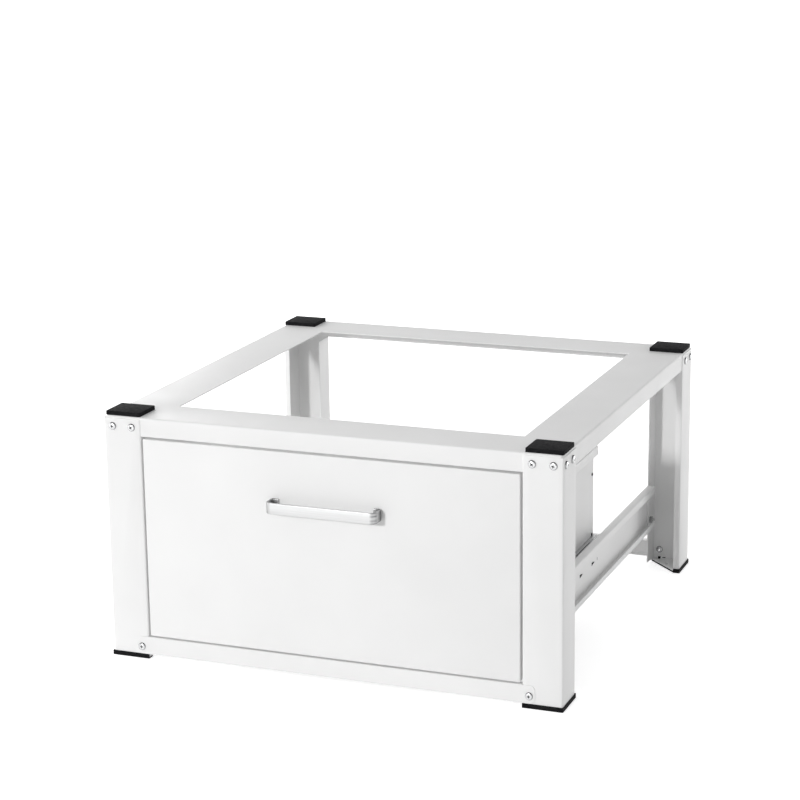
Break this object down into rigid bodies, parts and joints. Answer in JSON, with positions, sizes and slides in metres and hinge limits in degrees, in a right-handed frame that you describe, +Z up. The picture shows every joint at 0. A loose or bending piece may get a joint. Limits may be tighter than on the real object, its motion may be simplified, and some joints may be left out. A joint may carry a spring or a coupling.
{
  "type": "washer pedestal drawer",
  "caption": "Sheet-steel stand that raises a washing machine, with an open top frame, corner legs and a pull-out drawer on telescopic slides.",
  "frame": {"origin": "on the floor, in the middle of the whole outline with the handle and the rear screw heads", "axes": "+Z up, the drawer opens towards -Y, +X to the right seen from the front"},
  "size_m": [0.7174, 0.7416, 0.381],
  "materials": {
    "white_paint": "satin white powder coat",
    "black_rubber": "matt black moulded rubber",
    "zinc_screw": "bright zinc plate",
    "slide_steel": "zinc-plated rolled steel",
    "brushed_aluminium": "satin brushed along its length"
  },
  "bodies": {
    "stand": {"top_frame": "white_paint", "leg_front_left": "white_paint", "leg_front_right": "white_paint", "leg_rear_left": "white_paint", "leg_rear_right": "white_paint", "front_lower_rail": "white_paint", "rear_crossbar": "white_paint", "side_rail_left": "white_paint", "side_rail_right": "white_paint", "foot_front_left": "black_rubber", "foot_front_right": "black_rubber", "foot_rear_left": "black_rubber", "foot_rear_right": "black_rubber", "pad_front_left": "black_rubber", "pad_front_right": "black_rubber", "pad_rear_left": "black_rubber", "pad_rear_right": "black_rubber", "screw_front_left_face_outer": "zinc_screw", "screw_front_left_face_inner": "zinc_screw", "screw_front_left_side_outer": "zinc_screw", "screw_front_left_side_inner": "zinc_screw", "screw_front_left_cross": "zinc_screw", "screw_front_left_rail": "zinc_screw", "screw_front_right_face_outer": "zinc_screw", "screw_front_right_face_inner": "zinc_screw", "screw_front_right_side_outer": "zinc_screw", "screw_front_right_side_inner": "zinc_screw", "screw_front_right_cross": "zinc_screw", "screw_front_right_rail": "zinc_screw", "screw_rear_left_face_outer": "zinc_screw", "screw_rear_left_face_inner": "zinc_screw", "screw_rear_left_side_outer": "zinc_screw", "screw_rear_left_side_inner": "zinc_screw", "screw_rear_left_cross": "zinc_screw", "screw_rear_left_rail": "zinc_screw", "screw_rear_right_face_outer": "zinc_screw", "screw_rear_right_face_inner": "zinc_screw", "screw_rear_right_side_outer": "zinc_screw", "screw_rear_right_side_inner": "zinc_screw", "screw_rear_right_cross": "zinc_screw", "screw_rear_right_rail": "zinc_screw", "slide_left_rail_member": "slide_steel", "slide_right_rail_member": "slide_steel"},
    "slide_middle_left": {"slide_left_middle_member": "slide_steel"},
    "slide_middle_right": {"slide_right_middle_member": "slide_steel"},
    "drawer": {"slide_left_drawer_member": "slide_steel", "slide_right_drawer_member": "slide_steel", "drawer_front": "white_paint", "drawer_side_left": "white_paint", "drawer_side_right": "white_paint", "drawer_floor": "white_paint", "drawer_inner_front": "white_paint", "drawer_rear_wall": "white_paint", "handle": "brushed_aluminium", "handle_screw_left": "zinc_screw", "handle_screw_right": "zinc_screw"}
  },
  "joints": [
    {"name": "drawer_slide", "type": "slide", "parent": "stand", "child": "drawer", "axis": [0, -1, 0], "range_m": [0, 0.38]},
    {"name": "middle_left_slide", "type": "slide", "parent": "stand", "child": "slide_middle_left", "axis": [0, -1, 0], "range_m": [0, 0.19]},
    {"name": "middle_right_slide", "type": "slide", "parent": "stand", "child": "slide_middle_right", "axis": [0, -1, 0], "range_m": [0, 0.19]}
  ],
  "couplings": [
    {"joint": "middle_left_slide", "follows": "drawer_slide", "ratio": 0.5},
    {"joint": "middle_right_slide", "follows": "drawer_slide", "ratio": 0.5}
  ]
}
